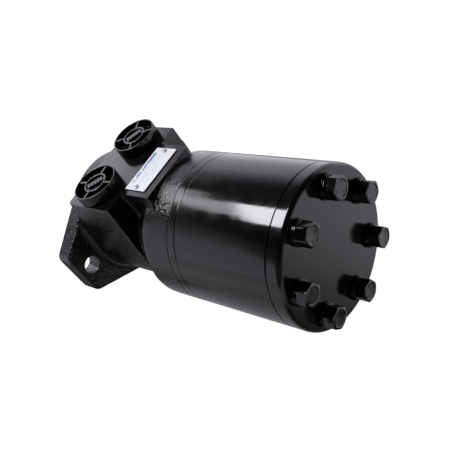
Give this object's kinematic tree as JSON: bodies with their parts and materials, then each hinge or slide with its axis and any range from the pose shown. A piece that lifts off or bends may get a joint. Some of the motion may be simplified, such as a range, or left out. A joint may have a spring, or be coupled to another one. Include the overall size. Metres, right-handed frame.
{
  "type": "hydraulic motor",
  "caption": "Orbital hydraulic motor with a two-bolt flange, keyed shaft, square port block with plugged top ports, round gear set and a bolted end cover.",
  "frame": {"origin": "centre of the mounting flange's front face, on the shaft axis", "axes": "+X along the shaft axis from the flange to the end cover, +Z out of the port face, +Y across the flange through its two bolt holes"},
  "size_m": [0.2557, 0.129, 0.1098],
  "materials": {
    "black_paint": "gloss black paint over cast and turned metal",
    "bolt_paint": "gloss black paint over steel fasteners",
    "ground_steel": "ground and oiled",
    "forged_steel": "machined and oiled",
    "black_rubber": "matte",
    "black_plastic": "moulded, semi-gloss",
    "plate_aluminium": "white printed face with plain lines",
    "rivet_aluminium": "bright",
    "copper": "copper, dull"
  },
  "bodies": {
    "housing_group": {"housing": "black_paint", "spacer_plate": "black_paint", "stator_ring": "black_paint", "end_cover": "black_paint", "cover_bolt_1": "bolt_paint", "bolt_washer_1": "bolt_paint", "cover_bolt_2": "bolt_paint", "bolt_washer_2": "bolt_paint", "cover_bolt_3": "bolt_paint", "bolt_washer_3": "bolt_paint", "cover_bolt_4": "bolt_paint", "bolt_washer_4": "bolt_paint", "cover_bolt_5": "bolt_paint", "bolt_washer_5": "bolt_paint", "cover_bolt_6": "bolt_paint", "bolt_washer_6": "bolt_paint", "cover_bolt_7": "bolt_paint", "bolt_washer_7": "bolt_paint", "dust_seal": "black_rubber", "shaft_seal": "black_rubber", "seal_washer": "ground_steel", "thrust_race_front": "ground_steel", "housing_oring": "black_rubber", "spacer_oring": "black_rubber", "cover_oring": "black_rubber", "port_plug_near": "black_plastic", "port_plug_far": "black_plastic", "nameplate": "plate_aluminium", "plate_rivet_near": "rivet_aluminium", "plate_rivet_far": "rivet_aluminium", "drain_plug": "bolt_paint", "drain_washer": "copper"},
    "shaft_group": {"output_shaft": "ground_steel", "shaft_key": "forged_steel", "thrust_race_rear": "ground_steel"},
    "orbit_group": {"drive_spacer": "ground_steel"},
    "rotor_group": {"rotor": "ground_steel"},
    "link_group": {"drive_link": "forged_steel"},
    "cage_group": {"needle_cage": "ground_steel"},
    "roller_1_group": {"roller_1": "ground_steel"},
    "roller_2_group": {"roller_2": "ground_steel"},
    "roller_3_group": {"roller_3": "ground_steel"},
    "roller_4_group": {"roller_4": "ground_steel"},
    "roller_5_group": {"roller_5": "ground_steel"},
    "roller_6_group": {"roller_6": "ground_steel"},
    "roller_7_group": {"roller_7": "ground_steel"}
  },
  "joints": [
    {"name": "shaft_spin", "type": "hinge", "parent": "housing_group", "child": "shaft_group", "pos_m": [0, 0, 0], "axis": [1, 0, 0], "continuous": true},
    {"name": "rotor_orbit", "type": "hinge", "parent": "housing_group", "child": "orbit_group", "pos_m": [0.1809, 0, 0], "axis": [1, 0, 0], "continuous": true},
    {"name": "rotor_spin", "type": "hinge", "parent": "orbit_group", "child": "rotor_group", "pos_m": [0.1494, 0.00113, -0.00234], "axis": [1, 0, 0], "continuous": true},
    {"name": "link_spin", "type": "hinge", "parent": "orbit_group", "child": "link_group", "pos_m": [0.072, 0, 0], "axis": [0.9996, 0.0124, -0.0257], "continuous": true},
    {"name": "cage_spin", "type": "hinge", "parent": "housing_group", "child": "cage_group", "pos_m": [0.0175, 0, 0], "axis": [1, 0, 0], "continuous": true},
    {"name": "roller_1_spin", "type": "hinge", "parent": "housing_group", "child": "roller_1_group", "pos_m": [0.1494, 0.01258, -0.02613], "axis": [1, 0, 0], "continuous": true},
    {"name": "roller_2_spin", "type": "hinge", "parent": "housing_group", "child": "roller_2_group", "pos_m": [0.1494, 0.02827, -0.00645], "axis": [1, 0, 0], "continuous": true},
    {"name": "roller_3_spin", "type": "hinge", "parent": "housing_group", "child": "roller_3_group", "pos_m": [0.1494, 0.02267, 0.01808], "axis": [1, 0, 0], "continuous": true},
    {"name": "roller_4_spin", "type": "hinge", "parent": "housing_group", "child": "roller_4_group", "pos_m": [0.1494, 0, 0.029], "axis": [1, 0, 0], "continuous": true},
    {"name": "roller_5_spin", "type": "hinge", "parent": "housing_group", "child": "roller_5_group", "pos_m": [0.1494, -0.02267, 0.01808], "axis": [1, 0, 0], "continuous": true},
    {"name": "roller_6_spin", "type": "hinge", "parent": "housing_group", "child": "roller_6_group", "pos_m": [0.1494, -0.02827, -0.00645], "axis": [1, 0, 0], "continuous": true},
    {"name": "roller_7_spin", "type": "hinge", "parent": "housing_group", "child": "roller_7_group", "pos_m": [0.1494, -0.01258, -0.02613], "axis": [1, 0, 0], "continuous": true}
  ],
  "couplings": [
    {"joint": "rotor_orbit", "follows": "shaft_spin", "ratio": -6},
    {"joint": "rotor_spin", "follows": "shaft_spin", "ratio": 7},
    {"joint": "link_spin", "follows": "shaft_spin", "ratio": 7},
    {"joint": "cage_spin", "follows": "shaft_spin", "ratio": 0.5},
    {"joint": "roller_1_spin", "follows": "shaft_spin", "ratio": -3.867},
    {"joint": "roller_2_spin", "follows": "shaft_spin", "ratio": -3.867},
    {"joint": "roller_3_spin", "follows": "shaft_spin", "ratio": -3.867},
    {"joint": "roller_4_spin", "follows": "shaft_spin", "ratio": -3.867},
    {"joint": "roller_5_spin", "follows": "shaft_spin", "ratio": -3.867},
    {"joint": "roller_6_spin", "follows": "shaft_spin", "ratio": -3.867},
    {"joint": "roller_7_spin", "follows": "shaft_spin", "ratio": -3.867}
  ]
}
